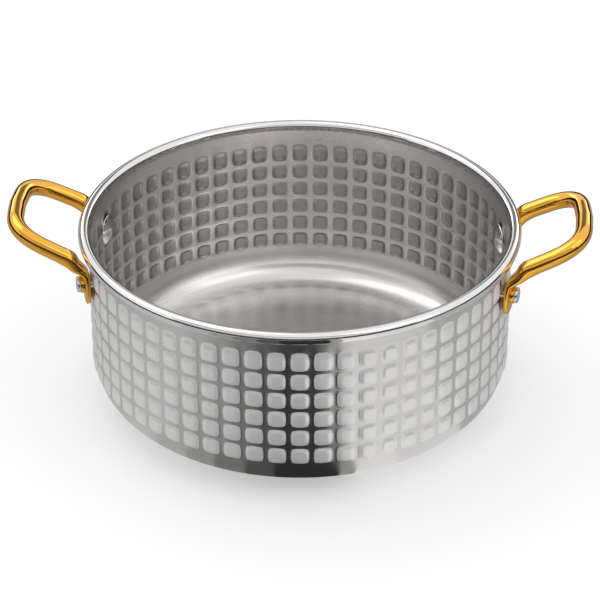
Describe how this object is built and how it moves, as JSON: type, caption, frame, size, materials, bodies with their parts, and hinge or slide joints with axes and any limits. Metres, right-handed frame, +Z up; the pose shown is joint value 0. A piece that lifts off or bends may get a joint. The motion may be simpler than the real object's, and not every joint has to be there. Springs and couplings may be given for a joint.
{
  "type": "casserole pan",
  "caption": "Round steel cooking pan with a rolled rim, an embossed grid of small squares round the wall, and a riveted gold loop handle on each side.",
  "frame": {"origin": "on the pan's axis, in the plane the base stands on", "axes": "+Z up out of the mouth, +X through the right-hand handle, -Y the side that faces the viewer"},
  "size_m": [0.3158, 0.24, 0.1144],
  "materials": {
    "vessel": "satin stainless, mirror-polished rim",
    "base_disc": "matt",
    "base_cap": "satin",
    "handles": "mirror-polished, gold-plated",
    "rivets": "polished",
    "washers": "mirror-polished, gold-plated"
  },
  "bodies": {
    "root": {"vessel": "vessel", "base_disc": "base_disc", "base_cap": "base_cap", "handle_left": "handles", "handle_right": "handles", "rivet_left_front": "rivets", "washer_left_front": "washers", "rivet_left_rear": "rivets", "washer_left_rear": "washers", "rivet_right_front": "rivets", "washer_right_front": "washers", "rivet_right_rear": "rivets", "washer_right_rear": "washers"}
  },
  "joints": []
}
